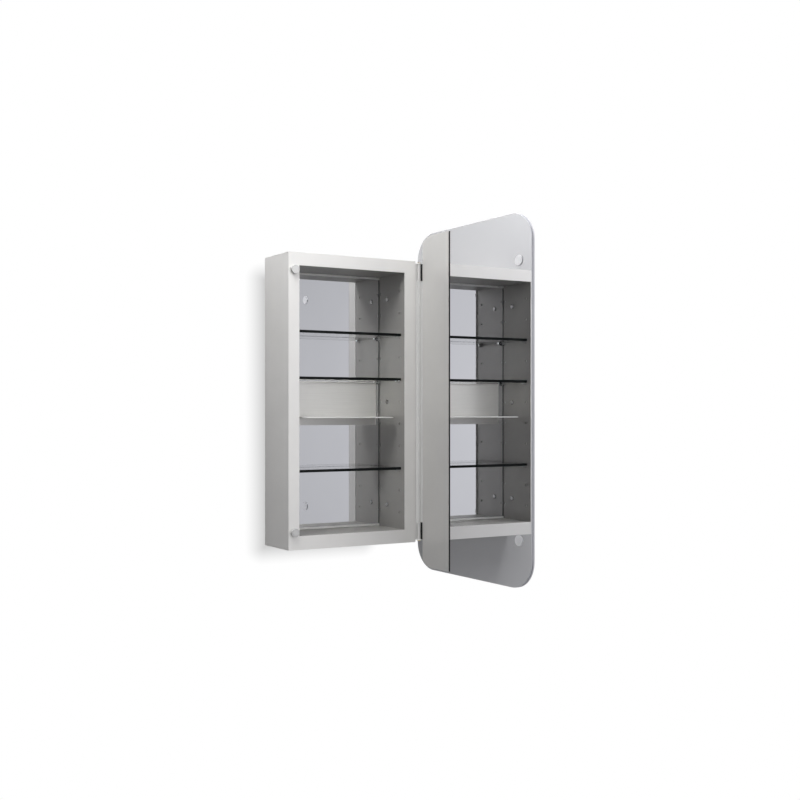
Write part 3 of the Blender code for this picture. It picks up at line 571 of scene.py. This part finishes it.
def knuckle_shade_pads():
    """Black pads on the door's inner mirror beside the two fixed knuckles: painted shade for the
    dark slots there.
    """
    strip_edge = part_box("door_cover_strip")[1].y
    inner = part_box("door_inner_mirror")[0].x - SEAT_GAP
    for level, under, over in (("upper", "hinge_washer_upper_inner", "hinge_washer_upper_outer"),
                               ("lower", "hinge_washer_lower_outer", "hinge_washer_lower_inner")):
        low = Vector((inner - SHADE_SHEET_THICKNESS, strip_edge + END_GAP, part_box(under)[1].z))
        high = Vector((inner, strip_edge + SHADE_SHEET_DEPTH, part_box(over)[0].z))
        # each pad is a dark sheet that paints the shade in the slot beside a knuckle
        rubber_strip(f"knuckle_pad_{level}", low, high, "door")


def rubber_strip(name, low, high, body):
    """Straight strip with rounded edges, given by two corners of its box."""
    bm = bmesh.new()
    stretch = Matrix.Translation((low + high) / 2) @ Matrix.Diagonal((*(high - low), 1.0))
    bmesh.ops.create_cube(bm, size=1.0, matrix=stretch)
    bmesh.ops.bevel(bm, geom=bm.edges, offset=STRIP_ROUNDING, segments=2, affect="EDGES",
                    profile=0.5)
    strip = bpy.data.objects.new(name, finished_mesh(bm, name, SHARP_ANGLE))
    SCENE.collection.objects.link(strip)
    dress(strip, FINISHES["edge_rubber"])
    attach(strip, body)


# ---------------------------------------------------------------- floor, wall, world and lamps
def stage_plane(name, corners_list, material):
    """A flat stage piece made of panes, each given by its four corners."""
    bm = bmesh.new()
    for corners in corners_list:
        bm.faces.new([bm.verts.new(corner) for corner in corners])
    mesh = bpy.data.meshes.new(name)
    bm.to_mesh(mesh)
    bm.free()
    mesh.materials.append(material)
    plane = bpy.data.objects.new(name, mesh)
    SCENE.collection.objects.link(plane)
    return plane


def floor():
    """Pale floor: an even tone to the eye, a matt one in the mirrors."""
    tree = Tree("pale_floor")
    tree.set(base_color=FLOOR_COLOUR, roughness=0.8)
    glow = tree.add("ShaderNodeEmission")
    glow.inputs["Strength"].default_value = FLOOR_TONE
    seen = mix_by_eye(tree.material.node_tree, tree.shader.outputs["BSDF"],
                      glow.outputs["Emission"])
    tree.link(seen, tree.output.inputs["Surface"])
    low, high = -FLOOR_HALF, FLOOR_HALF
    pane = [(low, low, FLOOR_Z), (high, low, FLOOR_Z), (high, high, FLOOR_Z), (low, high, FLOOR_Z)]
    stage_plane("floor", [pane], tree.material)


def contact_shadow(tree):
    """Brightness of the wall: lowest at the cabinet's left and bottom edges, 1 beyond the shadow."""
    place = tree.add("ShaderNodeSeparateXYZ")
    tree.link(tree.place(), place.inputs["Vector"])
    spans = (("X", FACE_LOW.x, SHADOW_RIGHT, SHADOW_REACH[0]),
             ("Z", FACE_LOW.z - SHADOW_LOW, FACE_HIGH.z - SHADOW_HIGH, SHADOW_REACH[1]))
    outside = tree.add("ShaderNodeCombineXYZ")
    for axis, low, high, reach in spans:
        before = tree.math("SUBTRACT", low, place.outputs[axis])
        after = tree.math("SUBTRACT", place.outputs[axis], high)
        distance = tree.math("MAXIMUM", tree.math("MAXIMUM", before, after), 0.0)
        tree.link(tree.math("DIVIDE", distance, reach), outside.inputs[axis])
    length = tree.add("ShaderNodeVectorMath", operation="LENGTH")
    tree.link(outside.outputs["Vector"], length.inputs[0])
    near = tree.math("MAXIMUM", tree.math("SUBTRACT", 1.0, length.outputs["Value"]), 0.0)
    dark = tree.math("MULTIPLY", tree.math("POWER", near, SHADOW_CURVE), SHADOW_DEPTH)
    return tree.math("SUBTRACT", 1.0, dark)


def wall():
    """White wall behind the cabinet: a soft contact shadow to the eye, matt in the mirrors.

    Seen from behind it isn't there, and it is open where the cabinet covers it.
    """
    tree = Tree("white_wall")
    tree.set(base_color=WALL_COLOUR, roughness=0.9)
    glow = tree.add("ShaderNodeEmission")
    tree.link(contact_shadow(tree), glow.inputs["Strength"])
    seen = mix_by_eye(tree.material.node_tree, tree.shader.outputs["BSDF"],
                      glow.outputs["Emission"])
    one_sided = tree.add("ShaderNodeMixShader")
    tree.link(tree.add("ShaderNodeNewGeometry").outputs["Backfacing"], one_sided.inputs["Fac"])
    tree.link(seen, one_sided.inputs[1])
    tree.link(tree.add("ShaderNodeBsdfTransparent").outputs["BSDF"], one_sided.inputs[2])
    tree.link(one_sided.outputs["Shader"], tree.output.inputs["Surface"])

    hole = WALL_HOLE_MARGIN
    xs = (WALL_LEFT, FACE_LOW.x + hole, FACE_HIGH.x - hole, WALL_RIGHT)
    zs = (FLOOR_Z, FACE_LOW.z + hole, FACE_HIGH.z - hole, WALL_TOP)
    panes = []
    for i in range(3):
        for j in range(3):
            if (i, j) != (1, 1):
                panes.append([(xs[i], WALL_GAP, zs[j]), (xs[i + 1], WALL_GAP, zs[j]),
                              (xs[i + 1], WALL_GAP, zs[j + 1]), (xs[i], WALL_GAP, zs[j + 1])])
    plane = stage_plane("wall", panes, tree.material)
    plane.visible_shadow = False
    plane.visible_diffuse = False


def world():
    """White to the eye. In reflections and as light, a sum of soft lobes round the compass."""
    studio = bpy.data.worlds.new("studio")
    SCENE.world = studio
    studio.use_nodes = True
    tree = studio.node_tree
    nodes, links = tree.nodes, tree.links
    coordinate = nodes.new("ShaderNodeTexCoord").outputs["Generated"]
    total = AMBIENT
    for direction, sharpness, level in LOBES:
        toward = nodes.new("ShaderNodeVectorMath")
        toward.operation = "DOT_PRODUCT"
        links.new(coordinate, toward.inputs[0])
        toward.inputs[1].default_value = Vector(direction).normalized()
        facing = math_node(tree, "MAXIMUM", toward.outputs["Value"], 0.0)
        lobe = math_node(tree, "MULTIPLY", math_node(tree, "POWER", facing, sharpness), level)
        total = math_node(tree, "ADD", lobe, total)
    light = nodes["Background"]
    light.inputs["Color"].default_value = ROOM_TINT
    links.new(total, light.inputs["Strength"])
    white = nodes.new("ShaderNodeBackground")
    white.inputs["Color"].default_value = WHITE
    seen = mix_by_eye(tree, light.outputs["Background"], white.outputs["Background"])
    links.new(seen, nodes["World Output"].inputs["Surface"])


def softbox(name, place, size, power):
    """Square soft lamp aimed at the middle of the cabinet."""
    data = bpy.data.lights.new(name, "AREA")
    data.size = size
    data.energy = power
    lamp = bpy.data.objects.new(name, data)
    lamp.location = place
    lamp.rotation_euler = (-Vector(place)).to_track_quat("-Z", "Y").to_euler()
    lamp.visible_glossy = False     # no white squares in the mirrors
    SCENE.collection.objects.link(lamp)


add_camera()
SCENE.view_settings.view_transform = "Standard"
dress_nodes()
cabinet_bolts()
leaf_rivets()
cover_edge_bead()
knuckle_shade_pads()
mirror_corner_strips()
floor()
wall()
world()
for lamp_settings in LAMPS:
    softbox(*lamp_settings)
